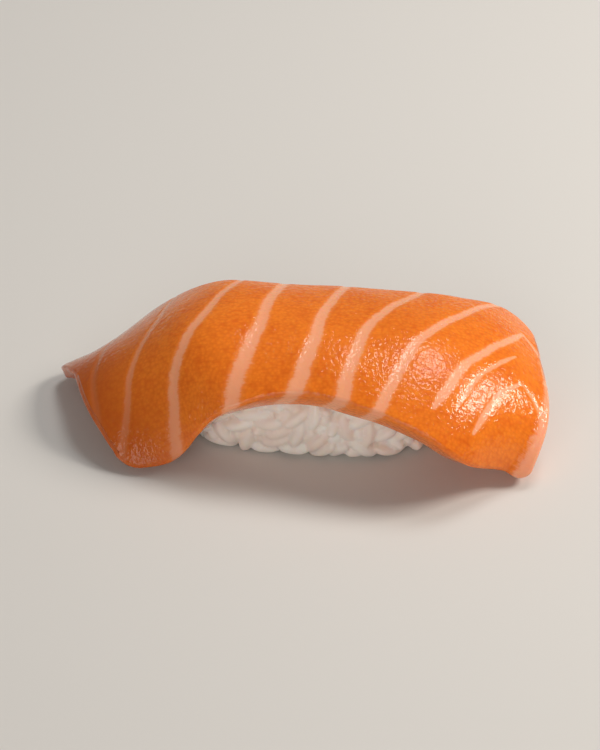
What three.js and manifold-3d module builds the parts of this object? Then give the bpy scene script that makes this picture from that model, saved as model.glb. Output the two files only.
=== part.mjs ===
// Salmon nigiri: a slice of raw salmon draped over a hand-pressed finger of rice.
// Millimetres, +X along the slice, -Y the near side, +Z up, z = 0 the surface it lies on.
import * as THREE from "three";
import { mergeVertices } from "three/addons/utils/BufferGeometryUtils.js";
import Module from "manifold-3d";

const wasm = await Module();
wasm.setup();

// ---- driving dimensions -------------------------------------------------------------------

const CONTACT_GAP = 0.3; // air left between the two pieces where they touch
const PLATE_GAP = 0.15; // lowest the slice hangs above the surface

// The slice, measured flat: s runs along it, t across it and d down into it.
const SLICE = {
  crest: 20.5, // height of its upper face over the middle of the rice
  thickness: 5.0,
  tailThickness: 2.4, // the thin left end
  tailLength: 20, // over which it thins
  left: -43.5, // s of the left end on the centre line
  right: 43,
  edgeRound: 0.7, // rounding of the cut edges
};

// The four corners of the flat slice: how far each lies beyond the end of the centre line,
// and its rounding, seen from above.
const CORNERS = {
  left: { near: { beyond: -6, radius: 3 }, far: { beyond: 4.5, radius: 4.5 } },
  right: { near: { beyond: 3, radius: 2.5 }, far: { beyond: -2.5, radius: 6 } },
};

// Two bends carry the slice down over the ends of the rice.
const BENDS = {
  left: { at: -18, length: 17, angle: THREE.MathUtils.degToRad(-32) },
  right: { at: 26, length: 30, angle: THREE.MathUtils.degToRad(36) },
};

// Cross-sections along the slice: the width on each side of the centre line, and how far
// that side has turned down at its edge, in degrees.
const SECTIONS = [
  { at: -42, near: { width: 19.5, turn: 50 }, far: { width: 11, turn: 46 } },
  { at: -30, near: { width: 23.6, turn: 77 }, far: { width: 13.8, turn: 22 } },
  { at: -21.5, near: { width: 21.2, turn: 67 }, far: { width: 14.6, turn: 18 } },
  { at: 0, near: { width: 15, turn: 29 }, far: { width: 15.5, turn: 23 } },
  { at: 24, near: { width: 21, turn: 38 }, far: { width: 15.8, turn: 20 } },
  { at: 33, near: { width: 21.5, turn: 51 }, far: { width: 18, turn: 16 } },
  { at: 42, near: { width: 18.3, turn: 68 }, far: { width: 18.5, turn: 18 } },
];

const SLICE_GRID = { along: 52, across: 16, deep: 3 };

// The press is the slice grown, so that it carves the top of the rice to fit under it.
const PRESS = { grow: 4, below: CONTACT_GAP, lift: 10 };

const RICE = {
  centre: { x: 0.5, y: 0.8 },
  length: 47,
  width: 23.5,
  height: 19, // before the slice presses its top to shape
  bellyHeight: 5.5, // where it is widest
  foot: { length: 0.88, width: 0.87 }, // its flat foot, as a share of its widest outline
  domeReach: 1.35, // above the belly its sides close in on a dome this much taller than it is
  squareness: 2.7, // exponent of its rounded-rectangle outline
  relief: 0.55, // how far single grains stand out
  grainLength: 6,
  grainWidth: 3.4,
};

const RICE_GRID = { long: 36, wide: 18, high: 13 };

// ---- small tools --------------------------------------------------------------------------

/** Smooth step from 0 to 1. */
function ease(x) {
  const c = THREE.MathUtils.clamp(x, 0, 1);
  return c * c * (3 - 2 * c);
}

/** Smooth curve through the values that pick() reads from SECTIONS, at station s. */
function alongSections(s, pick) {
  const last = SECTIONS.length - 1;
  const clamped = THREE.MathUtils.clamp(s, SECTIONS[0].at, SECTIONS[last].at);
  const next = Math.max(1, SECTIONS.findIndex((section) => section.at >= clamped));
  const slopeAt = (i) => {
    const before = SECTIONS[Math.max(0, i - 1)];
    const after = SECTIONS[Math.min(last, i + 1)];
    return (pick(after) - pick(before)) / (after.at - before.at);
  };
  const span = SECTIONS[next].at - SECTIONS[next - 1].at;
  const x = (clamped - SECTIONS[next - 1].at) / span;
  return (
    (2 * x ** 3 - 3 * x ** 2 + 1) * pick(SECTIONS[next - 1]) +
    (x ** 3 - 2 * x ** 2 + x) * span * slopeAt(next - 1) +
    (3 * x ** 2 - 2 * x ** 3) * pick(SECTIONS[next]) +
    (x ** 3 - x ** 2) * span * slopeAt(next)
  );
}

/** A grid box whose vertices are moved by place(x, y, z), each from -1 to 1. */
function mappedBox(counts, place) {
  const geometry = new THREE.BoxGeometry(2, 2, 2, ...counts);
  geometry.deleteAttribute("normal");
  geometry.deleteAttribute("uv");
  const box = mergeVertices(geometry, 1e-5);
  const position = box.getAttribute("position");
  const corner = new THREE.Vector3();
  for (let i = 0; i < position.count; i += 1) {
    corner.fromBufferAttribute(position, i);
    position.setXYZ(i, ...place(corner.x, corner.y, corner.z).toArray());
  }
  box.computeVertexNormals();
  return box;
}

/** A manifold solid from a closed geometry whose shared vertices are merged. */
function solidOf(geometry) {
  return new wasm.Manifold(
    new wasm.Mesh({
      numProp: 3,
      vertProperties: Float32Array.from(geometry.getAttribute("position").array),
      triVerts: Uint32Array.from(geometry.getIndex().array),
    }),
  );
}

/** A geometry from a manifold solid. */
function geometryOf(solid) {
  const mesh = solid.getMesh();
  const geometry = new THREE.BufferGeometry();
  geometry.setAttribute("position", new THREE.BufferAttribute(mesh.vertProperties, 3));
  geometry.setIndex(new THREE.BufferAttribute(mesh.triVerts, 1));
  geometry.computeVertexNormals();
  return geometry;
}

// ---- the slice ----------------------------------------------------------------------------

/** Angle below the horizontal of the slice's centre line at s. */
function slopeAt(s) {
  const { left, right } = BENDS;
  const leftShare = ease((left.at - s) / left.length + 0.5);
  const rightShare = ease((s - right.at) / right.length + 0.5);
  return left.angle * leftShare + right.angle * rightShare;
}

/** The centre line of the slice's upper face: its place and slope at s. */
function spineAt(s) {
  const steps = 60;
  const step = s / steps;
  let x = 0;
  let z = SLICE.crest;
  for (let i = 0; i < steps; i += 1) {
    const slope = slopeAt((i + 0.5) * step);
    x += Math.cos(slope) * step;
    z -= Math.sin(slope) * step;
  }
  return { x, z, slope: slopeAt(s) };
}

/** The point d below the upper face, at s along the slice and a share v of its width across. */
function drape(s, v, d) {
  const side = v < 0 ? "near" : "far";
  const width = alongSections(s, (section) => section[side].width);
  const turn = THREE.MathUtils.degToRad(alongSections(s, (section) => section[side].turn));
  const radius = width / turn;
  const angle = v * turn;
  const spine = spineAt(s);
  const up = new THREE.Vector3(Math.sin(spine.slope), 0, Math.cos(spine.slope));
  const outward = up.clone().multiplyScalar(Math.cos(angle));
  outward.y += Math.sin(angle);
  const point = new THREE.Vector3(spine.x, radius * Math.sin(angle), spine.z);
  point.addScaledVector(up, -radius * (1 - Math.cos(angle)));
  return point.addScaledVector(outward, -d);
}

/** How much of the width is left e millimetres from an end whose corner has this radius. */
function cornerShare(e, radius, width) {
  if (e >= radius) return 1;
  const inside = radius - Math.max(e, 0);
  return 1 - (radius - Math.sqrt(radius * radius - inside * inside)) / width;
}

/** Thickness of the slice at s. */
function thicknessAt(s) {
  const share = ease((s - SLICE.left) / SLICE.tailLength);
  return THREE.MathUtils.lerp(SLICE.tailThickness, SLICE.thickness, share);
}

/** A station from -1 to 1, moved so that the grid is finer near both ends. */
function crowdEnds(u) {
  return Math.sin((Math.PI / 2) * (0.8 * u + 0.2 * u ** 3));
}

/** The slice as a grid, grown beyond its sides and its lower face, and raised by lift. */
function sliceGeometry({ grow = 0, below = 0, lift = 0 } = {}) {
  const { along, across, deep } = SLICE_GRID;
  return mappedBox([along, across, deep], (u, v, w) => {
    const inset = SLICE.edgeRound * w ** 4 - grow;
    const side = v < 0 ? "near" : "far";
    const left = SLICE.left - CORNERS.left[side].beyond * Math.abs(v) + inset;
    const right = SLICE.right + CORNERS.right[side].beyond * Math.abs(v) - inset;
    const s = THREE.MathUtils.lerp(left, right, (1 + crowdEnds(u)) / 2);
    const width = alongSections(s, (section) => section[side].width);
    const share =
      cornerShare(s - left, CORNERS.left[side].radius, width) *
      cornerShare(right - s, CORNERS.right[side].radius, width);
    const depth = THREE.MathUtils.lerp(thicknessAt(s) + below, -lift, (w + 1) / 2);
    const point = drape(s, v * share * (1 - inset / width), depth);
    if (grow === 0) point.z = Math.max(point.z, PLATE_GAP);
    return point;
  });
}

// ---- the rice -----------------------------------------------------------------------------

/** A wave of this length through a point, running the way (x, y, z) points. */
function wave(point, length, x, y, z) {
  return Math.sin((2 * Math.PI * (x * point.x + y * point.y + z * point.z)) / length);
}

/** Height of the grains over the smooth loaf at a point: short bumps, out of step. */
function grainRelief(point) {
  const { grainLength, grainWidth, relief } = RICE;
  const bumps = wave(point, grainLength, 1, 0, 0.7) * wave(point, grainWidth, -0.3, 0.6, 1);
  const drift = wave(point, 2 * grainLength, 0.5, -1, 0.4);
  return (relief * (bumps + drift)) / 2;
}

/** Length and width of the loaf at a height, as shares of its belly. */
function loafShares(height) {
  const above = height - RICE.bellyHeight;
  if (above > 0) {
    const dome = (RICE.height - RICE.bellyHeight) * RICE.domeReach;
    const share = Math.sqrt(1 - (above / dome) ** 2);
    return { length: share, width: share };
  }
  const share = Math.sqrt(1 - (above / RICE.bellyHeight) ** 2);
  return {
    length: THREE.MathUtils.lerp(RICE.foot.length, 1, share),
    width: THREE.MathUtils.lerp(RICE.foot.width, 1, share),
  };
}

/** The pressed finger of rice before the slice shapes its top. */
function riceGeometry() {
  const { long, wide, high } = RICE_GRID;
  return mappedBox([long, wide, high], (a, b, c) => {
    const reach = Math.max(Math.abs(a), Math.abs(b));
    const power = RICE.squareness;
    const ring = (Math.abs(a) ** power + Math.abs(b) ** power) ** (1 / power);
    const round = ring > 0 ? reach / ring : 1;
    const z = (RICE.height * (c + 1)) / 2;
    const share = loafShares(z);
    const x = (a * round * share.length * RICE.length) / 2;
    const y = (b * round * share.width * RICE.width) / 2;
    const point = new THREE.Vector3(x, y, z);
    const outward = new THREE.Vector3(x / RICE.length, y / RICE.width, 0).normalize();
    point.addScaledVector(outward, grainRelief(point) * reach);
    point.x += RICE.centre.x;
    point.y += RICE.centre.y;
    return point;
  });
}

// ---- assembly -----------------------------------------------------------------------------

const salmonMesh = new THREE.Mesh(
  sliceGeometry(),
  new THREE.MeshStandardMaterial({ color: 0xe2701f, roughness: 0.32, metalness: 0 }),
);
salmonMesh.name = "salmon";

const press = solidOf(sliceGeometry(PRESS));
const riceMesh = new THREE.Mesh(
  geometryOf(solidOf(riceGeometry()).subtract(press)),
  new THREE.MeshStandardMaterial({ color: 0xe6dcd2, roughness: 0.55, metalness: 0 }),
);
riceMesh.name = "rice";

const nigiri = new THREE.Group();
nigiri.add(riceMesh, salmonMesh);

// The frame's origin lies under the middle of the whole.
const whole = new THREE.Box3().setFromObject(nigiri);
const middle = whole.getCenter(new THREE.Vector3());
nigiri.position.set(-middle.x, -middle.y, 0);
nigiri.updateMatrixWorld(true);

export default nigiri;
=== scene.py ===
"""Salmon nigiri: the looks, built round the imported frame.

A slice of raw salmon lies draped over a finger of pressed rice. The slice is modelled flat, in
millimetres along (s), across (t) and down into it (d), and bent over the rice by a formula. Its
fat lines, fibres and moist film are drawn in those flat measures, so they follow every bend. The
rice is packed from single cooked grains inside the frame's rice solid, round a smaller core, and
welded where the grains touch.
"""

from __future__ import annotations

import logging
import math
from dataclasses import dataclass, field

import bpy
import numpy as np
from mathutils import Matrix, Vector
from mathutils.bvhtree import BVHTree
from mathutils.kdtree import KDTree


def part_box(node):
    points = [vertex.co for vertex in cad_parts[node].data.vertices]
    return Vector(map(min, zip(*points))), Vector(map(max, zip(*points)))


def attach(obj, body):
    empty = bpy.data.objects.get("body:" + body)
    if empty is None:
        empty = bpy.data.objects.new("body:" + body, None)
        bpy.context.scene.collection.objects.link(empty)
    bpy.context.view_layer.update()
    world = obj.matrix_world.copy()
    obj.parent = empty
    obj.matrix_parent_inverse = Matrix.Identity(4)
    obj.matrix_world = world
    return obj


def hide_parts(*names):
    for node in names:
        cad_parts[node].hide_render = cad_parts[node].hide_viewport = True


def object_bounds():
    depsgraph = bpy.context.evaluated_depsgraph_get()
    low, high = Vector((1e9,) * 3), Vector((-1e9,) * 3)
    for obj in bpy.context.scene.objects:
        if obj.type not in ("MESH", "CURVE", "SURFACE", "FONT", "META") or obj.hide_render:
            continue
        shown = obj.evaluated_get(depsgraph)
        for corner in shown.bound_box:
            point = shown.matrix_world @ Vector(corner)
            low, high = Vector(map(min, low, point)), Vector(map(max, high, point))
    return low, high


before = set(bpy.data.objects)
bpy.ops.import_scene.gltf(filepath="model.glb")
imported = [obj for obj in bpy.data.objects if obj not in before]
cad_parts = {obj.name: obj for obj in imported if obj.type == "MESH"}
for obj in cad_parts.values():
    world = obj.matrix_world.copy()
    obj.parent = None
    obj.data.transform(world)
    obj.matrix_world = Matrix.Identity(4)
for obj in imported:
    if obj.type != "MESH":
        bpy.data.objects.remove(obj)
CAD_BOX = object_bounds()

LOG = logging.getLogger("nigiri")
MM = 0.001  # metres in a millimetre


# ---- small tools --------------------------------------------------------------------------


def linear(colour: str, alpha: float = 1.0) -> tuple[float, float, float, float]:
    """Turns an sRGB hex colour into the linear values that shaders work in.

    Args:
        colour: Six hex digits after a hash.
        alpha: Opacity to carry along.

    Returns:
        Linear red, green and blue, and the opacity.
    """
    channels = [int(colour[i : i + 2], 16) / 255 for i in (1, 3, 5)]
    red, green, blue = (
        c / 12.92 if c <= 0.04045 else ((c + 0.055) / 1.055) ** 2.4 for c in channels
    )
    return red, green, blue, alpha


def add_node(
    tree: bpy.types.NodeTree,
    kind: str,
    settings: dict[str, object] | None = None,
    inputs: dict[str | int, object] | None = None,
) -> bpy.types.Node:
    """Adds a node, sets it up and links it.

    Args:
        tree: The node tree it goes in.
        kind: The node's type name, without the leading ShaderNode.
        settings: Attributes of the node itself.
        inputs: For each input, by name or number, a value, an output to link, or a node whose
            first output is linked.

    Returns:
        The new node.
    """
    node = tree.nodes.new("ShaderNode" + kind)
    for name, value in (settings or {}).items():
        setattr(node, name, value)
    for key, value in (inputs or {}).items():
        if isinstance(value, bpy.types.Node):
            value = value.outputs[0]
        if isinstance(value, bpy.types.NodeSocket):
            tree.links.new(value, node.inputs[key])
        else:
            node.inputs[key].default_value = value
    return node


def smooth_step(x: np.ndarray | float) -> np.ndarray:
    """Eases from 0 to 1 as x does, flat at both ends."""
    x = np.clip(x, 0.0, 1.0)
    return x * x * (3 - 2 * x)


def mesh_object(
    name: str, points: np.ndarray, faces: list[list[int]], material: bpy.types.Material
) -> bpy.types.Object:
    """Makes a smooth-shaded mesh object and links it to the scene.

    Args:
        name: Name of the piece and its mesh.
        points: Vertex places in millimetres, one row each.
        faces: The vertex numbers of each face.
        material: What the whole piece is made of.

    Returns:
        The new object.
    """
    mesh = bpy.data.meshes.new(name)
    mesh.from_pydata((points * MM).tolist(), [], faces)
    mesh.shade_smooth()
    mesh.materials.append(material)
    piece = bpy.data.objects.new(name, mesh)
    bpy.context.scene.collection.objects.link(piece)
    return piece


def add_attribute(piece: bpy.types.Object, name: str, values: np.ndarray) -> None:
    """Stores one number, or one vector, for each vertex of a piece.

    Args:
        piece: The mesh object.
        name: What shaders call the attribute.
        values: One number or one row of three for each vertex.
    """
    is_vector = values.ndim == 2
    kind, slot = ("FLOAT_VECTOR", "vector") if is_vector else ("FLOAT", "value")
    layer = piece.data.attributes.new(name, kind, "POINT")
    layer.data.foreach_set(slot, np.asarray(values, dtype=np.float32).ravel())


def grid_shell(counts: tuple[int, int, int]) -> tuple[np.ndarray, np.ndarray]:
    """The surface of a box of grid cells, closed, with its faces turned outwards.

    Args:
        counts: Cells along each axis.

    Returns:
        Whole-number grid points, one row each, and the four point numbers of each face.
    """
    faces = []
    for axis in range(3):
        first, second = (a for a in range(3) if a != axis)
        i, j = np.meshgrid(np.arange(counts[first]), np.arange(counts[second]), indexing="ij")
        for end in (0, counts[axis]):
            corners = np.zeros(i.shape + (4, 3), dtype=int)
            for n, (di, dj) in enumerate(((0, 0), (1, 0), (1, 1), (0, 1))):
                corners[..., n, first] = i + di
                corners[..., n, second] = j + dj
                corners[..., n, axis] = end
            inwards = (end == 0) != (axis == 1)
            corners = corners[..., ::-1, :] if inwards else corners
            faces.append(corners.reshape(-1, 4, 3))
    stacked = np.concatenate(faces)
    points, numbers = np.unique(stacked.reshape(-1, 3), axis=0, return_inverse=True)
    return points, numbers.reshape(-1, 4)


# ---- finishes -----------------------------------------------------------------------------


@dataclass(frozen=True)
class RawSalmon:
    """Raw salmon flesh, knife-cut and moist.

    What it gives the eye: warm orange muscle with the grain of its cut fibres, crossed by pale
    peach fat lines with frayed edges; a paler lip at one end; and a thin wet film that breaks
    every highlight into small sparkles.
    """

    deep: str = "#DE640C"  # muscle seen deep
    bright: str = "#F88620"  # muscle at the surface
    blush: str = "#F8924A"  # muscle beside a fat line
    fat: str = "#FCA97E"  # the fat lines
    rim: str = "#FAAA84"  # paler edge where the fillet's outside was
    tail_and_shade: str = "#B4500E"  # the thin end, darker and a little see-through, with painted shade over it too
    ior: float = 1.40  # wet protein
    film_ior: float = 1.40  # water and fish oil
    under_film: float = 0.08  # specular level: wet flesh under water hardly reflects by itself
    roughness: float = 0.30  # of the flesh, before its cells and fat add to it
    film_roughness: float = 0.09
    film_weight: float = 1.0
    light_depth: float = 1.6  # millimetres that red light travels inside
    fibre_width: float = 0.35  # millimetres
    fibre_length: float = 4.0
    fibre_turn: float = 22.0  # degrees from the slice's length
    cell_size: float = 0.62  # the grain of cut muscle, as coarse as it needs to show
    mottle_size: float = 7.0
    base_share: float = 0.18  # how bright the muscle is before its patterns are added
    mottle_share: float = 1.1
    fibre_share: float = 0.55
    cell_share: float = -0.85  # cells are bright in their middles
    bead_size: float = 0.75  # from bead to bead of the wet film
    fray_size: float = 1.5  # how coarsely the fat's edges fray
    fray: float = 0.70  # how far noise moves those edges, as a share of the line's skirt
    fibre_fray: float = 0.36  # how far the ends of the fibres do
    edge_from: float = 0.24  # nearness at which the fat begins
    edge_to: float = 0.70  # nearness at which it is full
    cell_matt: float = 0.25  # how much rougher the flesh is between the cells' middles
    fat_matt: float = 0.10  # how much rougher the fat is
    flesh_relief: float = 0.02  # height of the cells under the film
    film_relief: float = 0.17  # height of the beads that the film forms over them

    def build(self) -> bpy.types.Material:
        """Makes the material.

        Returns:
            A node material that reads the slice's flat measures from its attributes.
        """
        material = bpy.data.materials.new("raw_salmon")
        material.use_nodes = True
        tree = material.node_tree
        tree.nodes.clear()
        flat = add_node(tree, "Attribute", {"attribute_name": "slice_mm"}).outputs["Vector"]
        nearness = add_node(tree, "Attribute", {"attribute_name": "fat"}).outputs["Fac"]
        tone = add_node(tree, "Attribute", {"attribute_name": "fat_tone"}).outputs["Fac"]
        rim = add_node(tree, "Attribute", {"attribute_name": "rim"}).outputs["Fac"]
        tail_and_shade = add_node(tree, "Attribute", {"attribute_name": "tail_and_shade"}).outputs["Fac"]

        fibres = self._fibres(tree, flat)
        cells = add_node(
            tree,
            "TexVoronoi",
            {"feature": "SMOOTH_F1"},
            {"Vector": flat, "Scale": 1 / self.cell_size, "Smoothness": 0.6},
        ).outputs["Distance"]
        mottle = add_node(
            tree,
            "TexNoise",
            None,
            {"Vector": flat, "Scale": 1 / self.mottle_size, "Detail": 3.0, "Roughness": 0.55},
        ).outputs["Fac"]

        fat_mask = self._fat_mask(tree, flat, nearness, fibres)
        strength = add_node(tree, "Math", {"operation": "MULTIPLY"}, {0: fat_mask, 1: tone})
        colour = self._muscle(tree, fibres, mottle, cells)
        for share, full_at, most, over in (
            (nearness, 0.55, 0.55, self.blush),
            (strength, 1.0, 1.0, self.fat),
            (self._fat_mask(tree, flat, rim, fibres), 1.0, 0.85, self.rim),
            # The darker left end: thin, see-through flesh, and painted shade over it.
            (tail_and_shade, 1.0, 0.75, self.tail_and_shade),
        ):
            eased = add_node(
                tree,
                "MapRange",
                {"interpolation_type": "SMOOTHSTEP"},
                {"Value": share, "From Max": full_at, "To Max": most},
            )
            colour = add_node(
                tree,
                "Mix",
                {"data_type": "RGBA"},
                {"Factor": eased, "A": colour, "B": linear(over)},
            ).outputs["Result"]

        flesh_skin, film_skin = (
            add_node(
                tree, "Bump", None, {"Strength": 1.0, "Distance": depth * MM, "Height": height}
            )
            for depth, height in (
                (self.flesh_relief, self._flesh_height(tree, fibres, cells, fat_mask)),
                (self.film_relief, self._film_height(tree, flat, fibres)),
            )
        )
        shader = add_node(
            tree,
            "BsdfPrincipled",
            {"subsurface_method": "RANDOM_WALK"},
            {
                "Base Color": colour,
                "Roughness": self._roughness(tree, cells, fat_mask),
                "IOR": self.ior,
                "Specular IOR Level": self.under_film,
                "Normal": flesh_skin,
                "Subsurface Weight": 0.35,
                "Subsurface Radius": (1.0, 0.35, 0.12),
                "Subsurface Scale": self.light_depth * MM,
                "Coat Weight": self.film_weight,
                "Coat Roughness": self.film_roughness,
                "Coat IOR": self.film_ior,
                "Coat Normal": film_skin,
            },
        )
        add_node(tree, "OutputMaterial", None, {"Surface": shader})
        return material

    def _fibres(
        self, tree: bpy.types.NodeTree, flat: bpy.types.NodeSocket
    ) -> bpy.types.NodeSocket:
        """Muscle fibres: long thin streaks that run from one fat line to the next.

        Args:
            tree: The material's node tree.
            flat: Places on the flat slice.

        Returns:
            The streaks, about 0.5 on average.
        """
        along = add_node(
            tree,
            "Mapping",
            {"vector_type": "POINT"},
            {
                "Vector": flat,
                "Rotation": (0.0, 0.0, math.radians(self.fibre_turn)),
                "Scale": (1 / self.fibre_length, 1 / self.fibre_width, 1 / self.fibre_width),
            },
        )
        return add_node(
            tree,
            "TexNoise",
            None,
            {"Vector": along, "Scale": 1.0, "Detail": 2.0, "Roughness": 0.6, "Distortion": 0.3},
        ).outputs["Fac"]

    def _fat_mask(
        self,
        tree: bpy.types.NodeTree,
        flat: bpy.types.NodeSocket,
        nearness: bpy.types.NodeSocket,
        fibres: bpy.types.NodeSocket,
    ) -> bpy.types.NodeSocket:
        """Where fat is, its edges frayed by noise and by the ends of the fibres.

        Args:
            tree: The material's node tree.
            flat: Places on the flat slice.
            nearness: 1 in the middle of the fat, 0 well outside it.
            fibres: The fibre pattern.

        Returns:
            1 in the fat and 0 in the muscle.
        """
        frayed = add_node(
            tree,
            "TexNoise",
            None,
            {"Vector": flat, "Scale": 1 / self.fray_size, "Detail": 4.0, "Roughness": 0.65},
        ).outputs["Fac"]
        moved = nearness
        for pattern, amount in ((frayed, self.fray), (fibres, self.fibre_fray)):
            shift = add_node(
                tree, "Math", {"operation": "MULTIPLY_ADD"}, {0: pattern, 1: amount, 2: -amount / 2}
            )
            moved = add_node(tree, "Math", {"operation": "ADD"}, {0: moved, 1: shift})
        return add_node(
            tree,
            "MapRange",
            {"interpolation_type": "SMOOTHSTEP"},
            {"Value": moved, "From Min": self.edge_from, "From Max": self.edge_to},
        ).outputs["Result"]

    def _muscle(
        self,
        tree: bpy.types.NodeTree,
        fibres: bpy.types.NodeSocket,
        mottle: bpy.types.NodeSocket,
        cells: bpy.types.NodeSocket,
    ) -> bpy.types.NodeSocket:
        """The muscle's own colour: slow mottling with fibres and cells over it.

        Args:
            tree: The material's node tree.
            fibres: The fibre pattern.
            mottle: The slow mottling.
            cells: Distance from the middles of the cells.

        Returns:
            The colour.
        """
        share = self.base_share
        for pattern, amount in (
            (mottle, self.mottle_share),
            (fibres, self.fibre_share),
            (cells, self.cell_share),
        ):
            share = add_node(
                tree, "Math", {"operation": "MULTIPLY_ADD"}, {0: pattern, 1: amount, 2: share}
            )
        mix = add_node(
            tree,
            "Mix",
            {"data_type": "RGBA", "clamp_factor": True},
            {"Factor": share, "A": linear(self.deep), "B": linear(self.bright)},
        )
        return mix.outputs["Result"]

    def _roughness(
        self,
        tree: bpy.types.NodeTree,
        cells: bpy.types.NodeSocket,
        fat_mask: bpy.types.NodeSocket,
    ) -> bpy.types.Node:
        """Cells vary the gloss, and fat is a little more matt than muscle.

        Args:
            tree: The material's node tree.
            cells: Distance from the middles of the cells.
            fat_mask: 1 in the fat and 0 in the muscle.

        Returns:
            The node that gives the roughness.
        """
        share = self.roughness
        for pattern, amount in ((cells, self.cell_matt), (fat_mask, self.fat_matt)):
            share = add_node(
                tree, "Math", {"operation": "MULTIPLY_ADD"}, {0: pattern, 1: amount, 2: share}
            )
        return share

    def _flesh_height(
        self,
        tree: bpy.types.NodeTree,
        fibres: bpy.types.NodeSocket,
        cells: bpy.types.NodeSocket,
        fat_mask: bpy.types.NodeSocket,
    ) -> bpy.types.Node:
        """Under the film, cells and fibres stand out a little, and the fat a little more.

        Args:
            tree: The material's node tree.
            fibres: The fibre pattern.
            cells: Distance from the middles of the cells.
            fat_mask: 1 in the fat and 0 in the muscle.

        Returns:
            The node that gives the height, in shares of the flesh's relief.
        """
        height = cells
        for pattern, amount in ((fibres, 0.5), (fat_mask, 0.8)):
            height = add_node(
                tree, "Math", {"operation": "MULTIPLY_ADD"}, {0: pattern, 1: amount, 2: height}
            )
        return height

    def _film_height(
        self,
        tree: bpy.types.NodeTree,
        flat: bpy.types.NodeSocket,
        fibres: bpy.types.NodeSocket,
    ) -> bpy.types.Node:
        """The film's own face: round beads of moisture, drawn out a little by the fibres.

        Args:
            tree: The material's node tree.
            flat: Places on the flat slice.
            fibres: The fibre pattern.

        Returns:
            The node that gives the height, in shares of the film's relief.
        """
        beads = add_node(
            tree,
            "TexNoise",
            None,
            {"Vector": flat, "Scale": 1 / self.bead_size, "Detail": 1.5, "Roughness": 0.5},
        ).outputs["Fac"]
        return add_node(
            tree, "Math", {"operation": "MULTIPLY_ADD"}, {0: fibres, 1: 0.2, 2: beads}
        )


@dataclass(frozen=True)
class CookedRice:
    """Short-grain rice, steamed, dressed and pressed by hand.

    What it gives the eye: warm white grains, milky and a little see-through, each of its own
    tint, with a soft sheen from starch and vinegar.
    """

    milky: str = "#FDF3EB"
    clear: str = "#F4E0D4"
    ior: float = 1.41  # starch gel
    roughness: float = 0.38
    light_depth: float = 1.2  # millimetres
    cloud_size: float = 2.4  # millimetres from a milky patch to the next
    cloud_share: float = 0.9  # how far milky patches move a grain's tint
    starch_size: float = 0.7  # millimetres between dents in a grain's skin
    starch_relief: float = 0.08  # their depth
    gloss_spread: float = 0.3  # how far they vary the roughness

    def build(self) -> bpy.types.Material:
        """Makes the material.

        Returns:
            A node material that takes each grain's tint from its attribute.
        """
        material = bpy.data.materials.new("cooked_rice")
        material.use_nodes = True
        tree = material.node_tree
        tree.nodes.clear()
        tint = add_node(tree, "Attribute", {"attribute_name": "grain_tint"}).outputs["Fac"]
        place = add_node(tree, "Attribute", {"attribute_name": "rice_mm"}).outputs["Vector"]
        cloud = add_node(
            tree,
            "TexNoise",
            None,
            {"Vector": place, "Scale": 1 / self.cloud_size, "Detail": 3.0, "Roughness": 0.5},
        ).outputs["Fac"]
        skin = add_node(
            tree,
            "TexNoise",
            None,
            {"Vector": place, "Scale": 1 / self.starch_size, "Detail": 3.0, "Roughness": 0.6},
        ).outputs["Fac"]
        share = add_node(
            tree,
            "Math",
            {"operation": "MULTIPLY_ADD"},
            {0: cloud, 1: self.cloud_share, 2: -self.cloud_share / 2},
        )
        share = add_node(tree, "Math", {"operation": "ADD"}, {0: share, 1: tint})
        colour = add_node(
            tree,
            "Mix",
            {"data_type": "RGBA", "clamp_factor": True},
            {"Factor": share, "A": linear(self.clear), "B": linear(self.milky)},
        ).outputs["Result"]
        gloss = add_node(
            tree,
            "Math",
            {"operation": "MULTIPLY_ADD"},
            {0: skin, 1: self.gloss_spread, 2: self.roughness - self.gloss_spread / 2},
        )
        bump = add_node(
            tree,
            "Bump",
            None,
            {"Strength": 0.5, "Distance": self.starch_relief * MM, "Height": skin},
        )
        shader = add_node(
            tree,
            "BsdfPrincipled",
            {"subsurface_method": "RANDOM_WALK"},
            {
                "Base Color": colour,
                "Roughness": gloss,
                "IOR": self.ior,
                "Normal": bump,
                "Subsurface Weight": 0.6,
                "Subsurface Radius": (1.0, 0.75, 0.55),
                "Subsurface Scale": self.light_depth * MM,
                "Coat Weight": 0.2,
                "Coat Roughness": 0.2,
            },
        )
        add_node(tree, "OutputMaterial", None, {"Surface": shader})
        return material


@dataclass(frozen=True)
class PaleCard:
    """Matt studio card for the floor: an even pale ground that shows soft shadows."""

    colour: str = "#D9D6D1"

    def build(self) -> bpy.types.Material:
        """Makes the material.

        Returns:
            A plain matt node material.
        """
        material = bpy.data.materials.new("pale_card")
        material.use_nodes = True
        tree = material.node_tree
        tree.nodes.clear()
        shader = add_node(
            tree,
            "BsdfPrincipled",
            None,
            {"Base Color": linear(self.colour), "Roughness": 0.75},
        )
        add_node(tree, "OutputMaterial", None, {"Surface": shader})
        return material


# ---- the slice ----------------------------------------------------------------------------


@dataclass(frozen=True)
class Side:
    """One side of a cross-section of the slice."""

    width: float  # millimetres from the centre line to the edge
    turn: float  # degrees that it has turned down at the edge


@dataclass(frozen=True)
class Section:
    """A cross-section of the slice at a station along it."""

    at: float
    near: Side
    far: Side


@dataclass(frozen=True)
class Corner:
    """A corner of the flat slice."""

    beyond: float  # how far it lies beyond the end of the centre line
    radius: float


@dataclass(frozen=True)
class Bend:
    """A bend of the slice's centre line."""

    at: float  # middle of the bend
    length: float
    angle: float  # degrees, positive down to the right


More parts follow.
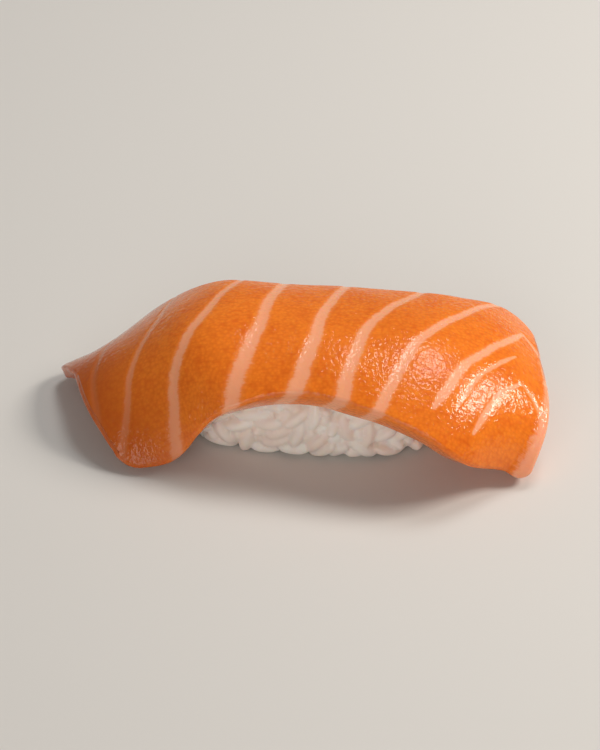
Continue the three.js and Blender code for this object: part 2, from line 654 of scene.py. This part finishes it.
@dataclass(frozen=True)
class FatLine:
    """One line of fat across the slice: a curve s = middle + lean * t + bow * t * t.

    Sizes are millimetres on the flat slice.
    """

    middle: float
    lean: float
    bow: float = 0.0
    half_width: float = 1.0
    tone: float = 1.0
    near_end: float = -40.0  # t where it starts
    far_end: float = 40.0  # t where it stops
    skirt: float = 2.2  # times its half width, where its nearness reaches nothing
    taper: float = 0.022  # share that it narrows by for each millimetre to the far side
    end_share: float = 0.5  # share of its width that is left at an end inside the slice
    end_length: float = 5.0  # millimetres over which it thins out to such an end
    side_range: tuple[float, float] = (0.6, 1.4)  # least and most that the taper may leave

    def distance(self, s: np.ndarray, t: np.ndarray) -> np.ndarray:
        """Distance from points on the flat slice to the line.

        Args:
            s: Places along the slice, in millimetres.
            t: Places across it.

        Returns:
            Millimetres, growing quickly beyond the line's ends.
        """
        steepness = self.lean + 2 * self.bow * t
        across = np.abs(s - self.middle - self.lean * t - self.bow * t * t)
        beyond = np.maximum(0.0, np.maximum(self.near_end - t, t - self.far_end))
        return np.hypot(across / np.sqrt(1 + steepness**2), beyond)

    def reach(self, t: np.ndarray) -> np.ndarray:
        """How far the line's skirt reaches, at places across the slice.

        Args:
            t: Places across the slice, in millimetres.

        Returns:
            Millimetres, less towards the far side and thinning out to the line's two ends.
        """
        inside = np.minimum(t - self.near_end, self.far_end - t)
        ends = np.clip(self.end_share + inside / self.end_length, self.end_share, 1)
        side = np.clip(1 - self.taper * t, *self.side_range)
        return self.half_width * self.skirt * side * ends


@dataclass
class SalmonSlice:
    """The slice of salmon: a flat slab bent over the rice, with its fat lines.

    Sizes are millimetres. Places along it count from the middle of its centre line.
    """

    crest: float = 20.5  # height of the upper face at its middle
    thickness: float = 5.0
    tail_thickness: float = 2.4
    tail_length: float = 20.0
    left: float = -43.5
    right: float = 43.0
    edge_round: float = 0.9
    plate_gap: float = 0.15  # the least height over the plate
    left_bend: Bend = Bend(at=-18, length=17, angle=-32)
    right_bend: Bend = Bend(at=26, length=30, angle=36)
    left_corners: tuple[Corner, Corner] = (Corner(-6, 3), Corner(4.5, 4.5))  # near, far
    right_corners: tuple[Corner, Corner] = (Corner(3, 2.5), Corner(-2.5, 6))
    sections: tuple[Section, ...] = (
        Section(-42, Side(19.5, 50), Side(11, 46)),
        Section(-30, Side(23.6, 77), Side(13.8, 22)),
        Section(-21.5, Side(21.2, 67), Side(14.6, 18)),
        Section(0, Side(15, 29), Side(15.5, 23)),
        Section(24, Side(21, 38), Side(15.8, 20)),
        Section(33, Side(21.5, 51), Side(18, 16)),
        Section(42, Side(18.3, 68), Side(18.5, 18)),
    )
    fat_lines: tuple[FatLine, ...] = (
        FatLine(-38.0, 0.07, half_width=0.42, tone=0.35),
        FatLine(-28.8, 0.29, -0.005, half_width=0.42, tone=0.6),
        FatLine(-18.6, 0.40, half_width=0.66, tone=0.8),
        FatLine(-8.0, 0.18, half_width=0.86, tone=0.9),
        FatLine(1.9, 0.175, 0.0012, half_width=0.82, tone=1.0),
        FatLine(10.2, 0.37, 0.0114, half_width=0.74, tone=1.0),
        FatLine(20.1, 0.555, 0.0095, half_width=0.64, tone=1.0),
        FatLine(30.1, 0.607, 0.0080, half_width=0.56, near_end=-15.0, far_end=10.8),
        FatLine(42.0, 0.30, -0.065, half_width=0.46, tone=0.9, near_end=0.0, far_end=10.8),
        FatLine(33.7, 0.685, 0.0138, half_width=0.32, tone=0.75, near_end=-13.5, far_end=2.4),
        FatLine(39.7, 0.825, 0.0196, half_width=0.42, tone=0.9, near_end=-16.5, far_end=-3.4),
        FatLine(29.7, -2.82, -0.136, half_width=0.34, tone=0.6, near_end=-12.0, far_end=-3.4),
    )
    line_tilt: float = 0.55  # how far a line moves back for each millimetre down
    sway: tuple[float, float] = (0.26, 0.09)  # how far lines stray, slowly and quickly
    sway_slow: tuple[float, float] = (3.4, 9.0)  # scale of its slow waves, across and along
    sway_quick: tuple[float, float] = (1.6, 5.0)
    tone_pull: int = 4  # how firmly the nearest line settles the tone
    plain_tone: float = 0.8  # where no line is near
    waver: tuple[float, float] = (0.13, 0.05)  # how far the cut edges stray
    waver_scale: tuple[float, float] = (3.6, 1.5)  # scale of those waves along the edge
    rough_half: float = 14.0  # rough half width, which spaces the waves on the end edges
    groove: float = 0.10  # depth of the sunken lines of fat
    swell: float = 0.12  # height of the muscle's soft waves
    swell_scale: tuple[float, float, float] = (4.3, 3.7, 11.0)  # along, across and aslant
    tail_and_shade_fade: float = 19.0  # length of the darker left end: thin flesh, with painted shade over it too
    end_pull: float = 0.2  # how much the grid's cells shrink towards the ends
    side_pull: float = 0.3  # and towards the sides
    lip_near: float = 5.2  # reach of the pale rim at the right end's near corner
    lip_far: float = 2.6
    lip_depth: float = 4.0  # how far down the end's cut face it fades out
    lip_until: float = 0.75  # share of the far side's width that it reaches
    lip_fade: float = 0.5  # share over which it fades out before that
    seams: int = 320  # grid cells along the slice
    strips: int = 112  # across it
    edge_steps: int = 4  # round each edge

    def build(self, material: bpy.types.Material) -> bpy.types.Object:
        """Makes the slice, dressed, in the place of the frame's salmon solid.

        Args:
            material: The flesh.

        Returns:
            The piece, riding on the root body.
        """
        points, faces = grid_shell((self.seams, self.strips, 2 * self.edge_steps + 2))
        s, t, d, rim, tail_and_shade = self._flat(points)
        place = self._drape(s, t, d + self._relief(s, t, d))
        place[:, 2] = np.maximum(place[:, 2], self.plate_gap)
        low, high = (np.array(corner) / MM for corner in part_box("salmon"))
        middle = (place.min(axis=0) + place.max(axis=0)) / 2
        place[:, :2] += ((low + high) / 2 - middle)[:2]
        piece = mesh_object("salmon_slice", place, faces.tolist(), material)
        nearness, tone = self._fat(s, t, d)
        add_attribute(piece, "slice_mm", np.stack([s, t, d], axis=1))
        add_attribute(piece, "fat", nearness)
        add_attribute(piece, "fat_tone", tone)
        add_attribute(piece, "rim", rim)
        add_attribute(piece, "tail_and_shade", tail_and_shade)
        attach(piece, "root")
        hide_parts("salmon")
        return piece

    def _slope(self, s: np.ndarray) -> np.ndarray:
        """How steeply the centre line runs.

        Args:
            s: Places along the slice.

        Returns:
            Its angle below the horizontal there, in radians.
        """
        left, right = self.left_bend, self.right_bend
        left_share = smooth_step((left.at - s) / left.length + 0.5)
        right_share = smooth_step((s - right.at) / right.length + 0.5)
        return np.radians(left.angle * left_share + right.angle * right_share)

    def _spine(self, s: np.ndarray) -> tuple[np.ndarray, np.ndarray]:
        """Where the centre line of the upper face runs.

        Args:
            s: Places along the slice.

        Returns:
            Their x and z.
        """
        step = 0.05
        stations = np.arange(2 * self.left, 2 * self.right, step)
        slope = self._slope(stations)
        x = np.cumsum(np.cos(slope)) * step
        z = -np.cumsum(np.sin(slope)) * step
        x -= np.interp(0, stations, x)
        z -= np.interp(0, stations, z)
        return np.interp(s, stations, x), self.crest + np.interp(s, stations, z)

    def _along(self, s: np.ndarray, values: list[float]) -> np.ndarray:
        """A smooth curve through one value for each section.

        Args:
            s: Places along the slice.
            values: What the curve has at each section.

        Returns:
            The curve's value at each place.
        """
        at = np.array([section.at for section in self.sections], dtype=float)
        value = np.array(values, dtype=float)
        before = np.maximum(np.arange(len(at)) - 1, 0)
        after = np.minimum(np.arange(len(at)) + 1, len(at) - 1)
        slope = (value[after] - value[before]) / (at[after] - at[before])
        s = np.clip(s, at[0], at[-1])
        i = np.clip(np.searchsorted(at, s) - 1, 0, len(at) - 2)
        span = at[i + 1] - at[i]
        x = (s - at[i]) / span
        return (
            (2 * x**3 - 3 * x**2 + 1) * value[i]
            + (x**3 - 2 * x**2 + x) * span * slope[i]
            + (3 * x**2 - 2 * x**3) * value[i + 1]
            + (x**3 - x**2) * span * slope[i + 1]
        )

    def _widths(self, s: np.ndarray, near: np.ndarray) -> tuple[np.ndarray, np.ndarray]:
        """Width and turn of the near or the far side.

        Args:
            s: Places along the slice.
            near: True where the near side is meant.

        Returns:
            Widths in millimetres and turns in radians.
        """
        widths, turns = [], []
        for sides in zip(*((section.near, section.far) for section in self.sections)):
            widths.append(self._along(s, [side.width for side in sides]))
            turns.append(self._along(s, [side.turn for side in sides]))
        return np.where(near, *widths), np.radians(np.where(near, *turns))

    def _drape(self, s: np.ndarray, t: np.ndarray, d: np.ndarray) -> np.ndarray:
        """Bends points of the flat slab over the rice.

        Args:
            s: Millimetres along it.
            t: Millimetres across it, to the far side.
            d: Millimetres below its upper face.

        Returns:
            Their places, one row each.
        """
        width, turn = self._widths(s, t < 0)
        radius = width / turn
        angle = t / radius
        slope = self._slope(s)
        x, z = self._spine(s)
        reach = radius * np.sin(angle) - d * np.sin(angle)
        drop = radius * (1 - np.cos(angle)) + d * np.cos(angle)
        return np.stack([x - np.sin(slope) * drop, reach, z - np.cos(slope) * drop], axis=1)

    def _corner_share(self, e: np.ndarray, radius: np.ndarray, width: np.ndarray) -> np.ndarray:
        """Share of a side's width that a corner's radius leaves at e millimetres from the end."""
        inside = np.clip(radius - e, 0, radius)
        return 1 - (radius - np.sqrt(radius**2 - inside**2)) / width

    def _flat(self, grid: np.ndarray) -> tuple[np.ndarray, ...]:
        """Places the grid's points on the flat slab.

        Args:
            grid: Whole-number grid points.

        Returns:
            s, t and d in millimetres, nearness to the pale right rim, and nearness to the thin left
            end, whose darker colour is partly painted shade.
        """
        u = 2 * grid[:, 0] / self.seams - 1
        v = 2 * grid[:, 1] / self.strips - 1
        depth_share, inset = self._edge_profile(grid[:, 2])
        u = self._pulled(u, self.end_pull)
        v = self._pulled(v, self.side_pull)
        near = v < 0
        left_beyond, left_radius = self._corner_sizes(self.left_corners, near)
        right_beyond, right_radius = self._corner_sizes(self.right_corners, near)
        left = self.left - left_beyond * np.abs(v) + inset + self._waver(self.rough_half * v, 1)
        right = self.right + right_beyond * np.abs(v) - inset + self._waver(self.rough_half * v, 2)
        s = left + (right - left) * (u + 1) / 2
        width, _ = self._widths(s, near)
        width = width + np.where(near, self._waver(s, 3), self._waver(s, 4))
        share = self._corner_share(s - left, left_radius, width)
        share *= self._corner_share(right - s, right_radius, width)
        t = v * share * (width - inset)
        thin = smooth_step((s - self.left) / self.tail_length)
        thickness = self.tail_thickness + (self.thickness - self.tail_thickness) * thin
        d = depth_share * thickness
        lip = self.lip_far + (self.lip_near - self.lip_far) * smooth_step(-v)
        rim = np.clip(1 - (right + inset - s) / lip, 0, 1)
        rim *= smooth_step((self.lip_until - v) / self.lip_fade)
        rim *= 1 - smooth_step(d / self.lip_depth)
        # Nearness to the left end, where the colour is darkened: thin flesh and painted shade.
        tail_and_shade = np.clip(1 - (s - left + inset) / self.tail_and_shade_fade, 0, 1)
        return s, t, d, rim, tail_and_shade

    def _pulled(self, x: np.ndarray, share: float) -> np.ndarray:
        """Draws evenly spaced places from -1 to 1 towards both ends."""
        return np.sin((math.pi / 2) * ((1 - share) * x + share * x**3))

    def _corner_sizes(
        self, corners: tuple[Corner, Corner], near: np.ndarray
    ) -> tuple[np.ndarray, np.ndarray]:
        """Picks each point's own corner.

        Args:
            corners: The near and the far corner of one end.
            near: True where the near one is meant.

        Returns:
            How far the corner lies beyond the centre line's end, and its radius.
        """
        beyond = np.where(near, *(corner.beyond for corner in corners))
        radius = np.where(near, *(corner.radius for corner in corners))
        return beyond, radius

    def _edge_profile(self, layer: np.ndarray) -> tuple[np.ndarray, np.ndarray]:
        """Rounds the cut edges.

        Args:
            layer: Grid layer, from 0 at the lower face up to the upper face.

        Returns:
            Depth as a share of the thickness, and how far the layer is drawn in.
        """
        steps = self.edge_steps
        from_top = 2 * steps + 2 - layer
        nearest = np.minimum(layer, from_top)
        angle = (math.pi / 2) * np.clip(nearest / steps, 0, 1)
        round_share = self.edge_round / self.thickness
        depth = round_share * (1 - np.cos(angle))
        depth = np.where(layer == from_top, 0.5, depth)
        depth = np.where(layer < from_top, 1 - depth, depth)
        return depth, self.edge_round * (1 - np.sin(angle))

    def _waver(self, along: np.ndarray, which: int) -> np.ndarray:
        """A knife cut's slight waver.

        Args:
            along: Millimetres along the edge.
            which: A number for each edge, so that no two stray alike.

        Returns:
            How far the edge lies off its plain line, in millimetres.
        """
        slow = np.sin(along / self.waver_scale[0] + 1.7 * which)
        quick = np.sin(along / self.waver_scale[1] + 2.9 * which)
        return self.waver[0] * slow + self.waver[1] * quick

    def _fat(
        self, s: np.ndarray, t: np.ndarray, d: np.ndarray
    ) -> tuple[np.ndarray, np.ndarray]:
        """How near each point is to a fat line.

        Args:
            s: Millimetres along the slice.
            t: Millimetres across it.
            d: Millimetres down into it.

        Returns:
            Nearness, 1 on a line and 0 beyond its skirt, and the tone of the nearest line.
        """
        slow = np.sin(t / self.sway_slow[0] + s / self.sway_slow[1])
        quick = np.sin(t / self.sway_quick[0] + s / self.sway_quick[1])
        shifted = s + self.line_tilt * d + (self.sway[0] * slow + self.sway[1] * quick)
        nearness = np.zeros_like(s)
        tone = np.zeros_like(s)
        weight = np.full_like(s, 1e-6)
        for line in self.fat_lines:
            close = np.clip(1 - line.distance(shifted, t) / line.reach(t), 0, 1)
            nearness = np.maximum(nearness, close)
            tone += line.tone * close**self.tone_pull
            weight += close**self.tone_pull
        return nearness, np.where(weight > 1e-5, tone / weight, self.plain_tone)

    def _relief(self, s: np.ndarray, t: np.ndarray, d: np.ndarray) -> np.ndarray:
        """How much deeper the surface lies: it sinks at the lines and waves between them.

        Args:
            s: Millimetres along the slice.
            t: Millimetres across it.
            d: Millimetres down into it.

        Returns:
            Millimetres, less and less towards the lower face.
        """
        nearness, _ = self._fat(s, t, 0 * d)
        groove = self.groove * smooth_step(nearness)
        along, across, aslant = self.swell_scale
        swell = self.swell * np.sin(s / along + 0.6) * np.sin(t / across + s / aslant)
        top_share = np.clip(1 - d / self.thickness, 0, 1)
        return (groove + swell) * top_share


# ---- the rice -----------------------------------------------------------------------------


@dataclass
class RiceGrain:
    """One cooked grain, lying along X about its own middle, in millimetres."""

    length: float = 5.8
    width: float = 2.7
    height: float = 2.4
    around: int = 14  # points round the grain
    rings: int = 12  # steps from tip to tip
    bluntness: float = 0.85  # below 1, the ends are blunter than an ellipse's
    lopsided: float = 0.10  # how much thicker one end may be
    germ_at: float = 0.82  # where the germ left its notch, as a share of the half length
    germ_size: float = 0.22
    germ_depth: tuple[float, float] = (0.1, 0.3)
    arch: tuple[float, float] = (-0.04, 0.04)  # bend up or down, for each millimetre squared
    curl: tuple[float, float] = (-0.03, 0.05)  # bend sideways
    wobble: tuple[float, float] = (0.05, 0.04)  # unevenness round and along the grain
    size_range: tuple[float, float] = (0.9, 1.08)

    def faces(self) -> list[list[int]]:
        """Faces of one grain: rings of four-sided faces, closed by triangles at both tips.

        Returns:
            The point numbers of each face.
        """
        last = self.around * (self.rings - 2)
        start_tip = self.around * (self.rings - 1)
        end_tip = start_tip + 1
        faces = []
        for a in range(self.around):
            b = (a + 1) % self.around
            for ring in range(0, last, self.around):
                after = ring + self.around
                faces.append([ring + a, ring + b, after + b, after + a])
            faces += [[b, a, start_tip], [last + a, last + b, end_tip]]
        return faces

    def points(self, rng: np.random.Generator) -> np.ndarray:
        """Vertices of one grain, each grain a little different.

        Args:
            rng: Where its chances come from.

        Returns:
            Ring points followed by the two tips, in millimetres.
        """
        polar = np.linspace(0, math.pi, self.rings + 1)[1:-1]
        turn = np.linspace(0, 2 * math.pi, self.around, endpoint=False)
        along = np.concatenate([np.repeat(-np.cos(polar), self.around), [-1.0, 1.0]])
        girth = np.concatenate([np.repeat(np.sin(polar), self.around), [0.0, 0.0]])
        turn = np.concatenate([np.tile(turn, polar.size), [0.0, 0.0]])
        girth = girth**self.bluntness
        girth *= 1 + rng.uniform(-self.lopsided, self.lopsided) * along
        notch = np.exp(-(((along - self.germ_at) / self.germ_size) ** 2))
        notch *= np.clip(np.cos(turn), 0, 1)
        girth *= 1 - rng.uniform(*self.germ_depth) * notch
        round_it = self.wobble[0] * np.sin(2 * turn + rng.uniform(0, 6))
        along_it = self.wobble[1] * np.sin(3 * along + turn + rng.uniform(0, 6))
        girth *= 1 + round_it + along_it
        size = rng.uniform(*self.size_range, 3)
        x = along * size[0] * self.length / 2
        y = girth * np.cos(turn) * size[1] * self.width / 2
        z = girth * np.sin(turn) * size[2] * self.height / 2
        z += rng.uniform(*self.arch) * x**2
        y += rng.uniform(*self.curl) * x**2
        return np.stack([x, y, z], axis=1)


@dataclass
class RiceFinger:
    """Pressed rice: single grains packed in the frame's rice solid, round a plain core.

    Sizes are millimetres.
    """

    grain: RiceGrain = field(default_factory=RiceGrain)
    grain_space: float = 16.0  # cubic millimetres of the finger for each grain
    crowding: float = 1.25  # grains dropped for each one that would fit loosely
    tries: int = 4000  # places tried for them in the solid's box
    drop_depth: float = 1.0  # the least depth at which one is dropped
    lie: tuple[float, float, float] = (1.0, 0.7, 0.3)  # pressed grains lie lengthways and flat
    press_steps: int = 70
    push_share: float = 0.35  # of an overlap, taken away in each step
    push_limit: float = 0.6  # the furthest that a step moves a grain
    squash: float = 0.86  # pressed grains sink into each other to this share of their width
    proud: float = 0.30  # how far a grain may stand out of the solid
    shell_depth: float = 4.6  # grains whose middle lies deeper are left to the core
    core_inset: float = 1.8
    core_tint: float = 0.3
    tint_range: tuple[float, float] = (0.2, 1.0)
    roll: float = 0.6  # radians that a grain may be turned about its length
    foot_gap: float = 0.03  # between the lowest grains and the plate
    weld: float = 0.26  # finest step of the starch that joins grains where they touch
    weld_passes: int = 1  # rounds of smoothing after it
    seed: int = 20

    def build(self, material: bpy.types.Material) -> bpy.types.Object:
        """Packs the grains round the core and joins them.

        Args:
            material: The cooked rice.

        Returns:
            The whole finger, riding on the root body.
        """
        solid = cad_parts["rice"]
        rng = np.random.default_rng(self.seed)
        corners = np.array([v.co for v in solid.data.vertices]) / MM
        hull = [list(p.vertices) for p in solid.data.polygons]
        tree = BVHTree.FromPolygons([Vector(p) for p in corners], hull)
        centres, axes = self._press(tree, corners, rng)
        depth = -self._signed(tree, centres)[0]
        shell = depth < self.shell_depth
        points, faces, tints = self._grains(centres[shell], axes[shell], rng)
        faces += [[index + len(points) for index in face] for face in hull]
        tints = np.append(tints, np.full(len(corners), self.core_tint))
        points = np.concatenate([points, self._core(corners)])
        finger = mesh_object("rice_grains", points, faces, material)
        add_attribute(finger, "grain_tint", tints)
        self._weld(finger)
        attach(finger, "root")
        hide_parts("rice")
        return finger

    def _signed(self, tree: BVHTree, places: np.ndarray) -> tuple[np.ndarray, np.ndarray]:
        """Distance out of the rice solid, and the way out.

        Args:
            tree: The solid's surface.
            places: Points in millimetres.

        Returns:
            Distances, negative inside, and outward directions.
        """
        distance = np.empty(len(places))
        way = np.empty((len(places), 3))
        for i, place in enumerate(places):
            hit, normal, _, gap = tree.find_nearest(Vector(place))
            off = Vector(place) - hit
            outside = off.dot(normal) > 0
            distance[i] = gap if outside else -gap
            way[i] = (off if outside else -off) / max(gap, 1e-9) if gap > 1e-6 else normal
        return distance, way

    def _press(
        self, tree: BVHTree, corners: np.ndarray, rng: np.random.Generator
    ) -> tuple[np.ndarray, np.ndarray]:
        """Drops grains into the solid and pushes them apart until they lie side by side.

        Each grain is a row of three beads. Beads of different grains push each other apart, and
        the solid's surface holds them in.

        Args:
            tree: The solid's surface.
            corners: Its vertices, for its box.
            rng: Where the grains' places and directions come from.

        Returns:
            The grains' middles and directions.
        """
        low, high = corners.min(axis=0), corners.max(axis=0)
        tries = rng.uniform(low, high, (self.tries, 3))
        inside = tries[self._signed(tree, tries)[0] < -self.drop_depth]
        volume = np.prod(high - low) * len(inside) / len(tries)
        centres = inside[: int(self.crowding * volume / self.grain_space)]
        axes = rng.normal(size=centres.shape) * self.lie
        axes /= np.linalg.norm(axes, axis=1, keepdims=True)
        bead = (self.grain.width + self.grain.height) / 4
        spread = self.grain.length / 2 - bead
        owner = np.repeat(np.arange(len(centres)), 3)
        strangers = owner[:, None] != owner[None, :]
        offsets = np.array([-1.0, 0.0, 1.0]) * spread
        for _ in range(self.press_steps):
            beads = (centres[:, None] + offsets[None, :, None] * axes[:, None]).reshape(-1, 3)
            square = (beads**2).sum(axis=1)
            apart = square[:, None] + square[None, :] - 2 * beads @ beads.T
            reach = 2 * bead * self.squash
            i, j = np.nonzero((apart < reach**2) & strangers)
            away = beads[i] - beads[j]
            gap = np.maximum(np.linalg.norm(away, axis=1), 1e-4)
            push = np.zeros_like(beads)
            np.add.at(push, i, away * (self.push_share * (reach - gap) / gap)[:, None])
            beads += np.clip(push, -self.push_limit, self.push_limit)
            out, way = self._signed(tree, beads)
            excess = np.maximum(out + bead - self.proud, 0)
            beads -= way * excess[:, None]
            beads[:, 2] = np.maximum(beads[:, 2], bead)
            rows = beads.reshape(-1, 3, 3)
            centres = rows.mean(axis=1)
            axes = rows[:, 2] - rows[:, 0]
            axes /= np.maximum(np.linalg.norm(axes, axis=1, keepdims=True), 1e-6)
        return centres, axes

    def _grains(
        self, centres: np.ndarray, axes: np.ndarray, rng: np.random.Generator
    ) -> tuple[np.ndarray, list[list[int]], np.ndarray]:
        """Shapes every shown grain.

        Args:
            centres: The grains' middles.
            axes: Their directions.
            rng: Where each grain's shape and tint come from.

        Returns:
            The points of all grains in millimetres, their faces, and each point's tint.
        """
        one = self.grain.faces()
        points, tints, faces = [], [], []
        for centre, axis in zip(centres, axes):
            side = np.cross(axis, (0.0, 0.0, 1.0))
            side /= max(np.linalg.norm(side), 1e-6)
            roll = rng.uniform(-self.roll, self.roll)
            up = np.cross(side, axis)
            side, up = (
                side * math.cos(roll) + up * math.sin(roll),
                up * math.cos(roll) - side * math.sin(roll),
            )
            shape = self.grain.points(rng) @ np.stack([axis, side, up])
            shape += centre
            shape[:, 2] = np.maximum(shape[:, 2], self.foot_gap)
            first = len(points) * len(shape)
            points.append(shape)
            tints.append(np.full(len(shape), rng.uniform(*self.tint_range)))
            faces += [[index + first for index in face] for face in one]
        return np.concatenate(points), faces, np.concatenate(tints)

    def _weld(self, piece: bpy.types.Object) -> None:
        """Joins grains where they touch, as their starch does, and keeps each one's tint.

        Args:
            piece: The grains and their core, which end as one closed surface.
        """
        tree = KDTree(len(piece.data.vertices))
        for i, vertex in enumerate(piece.data.vertices):
            tree.insert(vertex.co, i)
        tree.balance()
        before = np.empty(len(piece.data.vertices), dtype=np.float32)
        piece.data.attributes["grain_tint"].data.foreach_get("value", before)
        starch = piece.modifiers.new("starch", "REMESH")
        starch.mode = "VOXEL"
        starch.voxel_size = self.weld * MM
        starch.use_smooth_shade = True
        settle = piece.modifiers.new("settle", "SMOOTH")
        settle.iterations = self.weld_passes
        shaped = piece.evaluated_get(bpy.context.evaluated_depsgraph_get())
        mesh = bpy.data.meshes.new_from_object(shaped)
        mesh.name = piece.name
        piece.modifiers.clear()
        old, piece.data = piece.data, mesh
        bpy.data.meshes.remove(old)
        nearest = [tree.find(vertex.co)[1] for vertex in mesh.vertices]
        places = np.array([vertex.co for vertex in mesh.vertices]) / MM
        add_attribute(piece, "grain_tint", before[nearest])
        add_attribute(piece, "rice_mm", places)

    def _core(self, corners: np.ndarray) -> np.ndarray:
        """The frame's rice solid, drawn in on all sides, which closes the gaps between grains.

        Args:
            corners: The solid's vertices, in millimetres.

        Returns:
            The core's vertices, in the same order.
        """
        low, high = corners.min(axis=0), corners.max(axis=0)
        middle = (low + high) / 2
        shrink = 1 - 2 * self.core_inset / (high - low)
        return middle + (corners - middle) * shrink


# ---- the studio ---------------------------------------------------------------------------


@dataclass(frozen=True)
class Softbox:
    """A square soft light that faces the nigiri."""

    name: str
    direction: tuple[float, float, float]  # from the nigiri to the light
    distance: float
    size: float
    power: float
    colour: str = "#FFFFFF"

    def build(self, aim: Vector) -> bpy.types.Object:
        """Makes the light.

        Args:
            aim: The point that it faces.

        Returns:
            The light.
        """
        lamp = bpy.data.lights.new(self.name, "AREA")
        lamp.shape = "SQUARE"
        lamp.size = self.size
        lamp.energy = self.power
        lamp.color = linear(self.colour)[:3]
        light = bpy.data.objects.new(self.name, lamp)
        way = Vector(self.direction).normalized()
        light.location = aim + way * self.distance
        light.rotation_euler = way.to_track_quat("Z", "Y").to_euler()
        bpy.context.scene.collection.objects.link(light)
        return light


@dataclass
class Studio:
    """A pale floor, soft light from the back right, and the camera, in metres."""

    azimuth: float = 6.0  # degrees round to the right of the near side
    elevation: float = 38.0
    distance: float = 0.52
    view_width: float = 0.100  # metres across the picture at the nigiri
    sensor: float = 36.0  # millimetres
    floor_size: float = 3.0
    air_colour: str = "#F8F5F2"
    air_strength: float = 0.18
    lights: tuple[Softbox, ...] = (
        Softbox("key_softbox", (0.75, 0.20, 0.65), 0.60, 0.20, 2.5, "#FFF8F0"),
        Softbox("back_softbox", (0.22, 0.42, 0.88), 0.70, 0.23, 1.5, "#FFFFFF"),
        Softbox("fill_softbox", (-0.10, -0.92, 0.38), 0.90, 0.60, 2.4, "#FFFCF8"),
    )

    def build(self) -> None:
        """Sets up the floor, lights, world, colour view and camera."""
        low, high = (Vector(corner) for corner in CAD_BOX)
        aim = (low + high) / 2
        self._floor()
        for light in self.lights:
            light.build(aim)
        self._world()
        self._camera(aim)
        bpy.context.scene.view_settings.view_transform = "Standard"

    def _floor(self) -> None:
        """Lays the floor under the object."""
        half = self.floor_size / 2
        mesh = bpy.data.meshes.new("floor")
        corners = [(-half, -half, 0), (half, -half, 0), (half, half, 0), (-half, half, 0)]
        mesh.from_pydata(corners, [], [(0, 1, 2, 3)])
        mesh.materials.append(PaleCard().build())
        floor = bpy.data.objects.new("floor", mesh)
        bpy.context.scene.collection.objects.link(floor)

    def _world(self) -> None:
        """Fills the shadows with even pale light."""
        world = bpy.data.worlds.new("studio_air")
        world.use_nodes = True
        background = world.node_tree.nodes["Background"]
        background.inputs["Color"].default_value = linear(self.air_colour)
        background.inputs["Strength"].default_value = self.air_strength
        bpy.context.scene.world = world

    def _camera(self, aim: Vector) -> None:
        """Points the camera at the object from above its near side.

        Args:
            aim: The point in the middle of the picture.
        """
        turn, rise = math.radians(self.azimuth), math.radians(self.elevation)
        way = Vector(
            (
                math.sin(turn) * math.cos(rise),
                -math.cos(turn) * math.cos(rise),
                math.sin(rise),
            )
        )
        lens = bpy.data.cameras.new("camera")
        lens.sensor_fit = "HORIZONTAL"
        lens.sensor_width = self.sensor
        lens.lens = self.sensor * self.distance / self.view_width
        lens.clip_start = 0.01
        camera = bpy.data.objects.new("camera", lens)
        camera.location = aim + way * self.distance
        camera.rotation_euler = way.to_track_quat("Z", "Y").to_euler()
        bpy.context.scene.collection.objects.link(camera)
        bpy.context.scene.camera = camera


# ---- assembly -----------------------------------------------------------------------------


def main() -> None:
    """Builds the studio, the rice and the slice, and reports each piece."""
    logging.basicConfig(level=logging.INFO, format="%(name)s: %(message)s")
    Studio().build()
    rice = RiceFinger().build(CookedRice().build())
    slice_of_salmon = SalmonSlice().build(RawSalmon().build())
    for piece in (rice, slice_of_salmon):
        LOG.info("%s: %d faces", piece.name, len(piece.data.polygons))


if __name__ == "__main__":
    main()
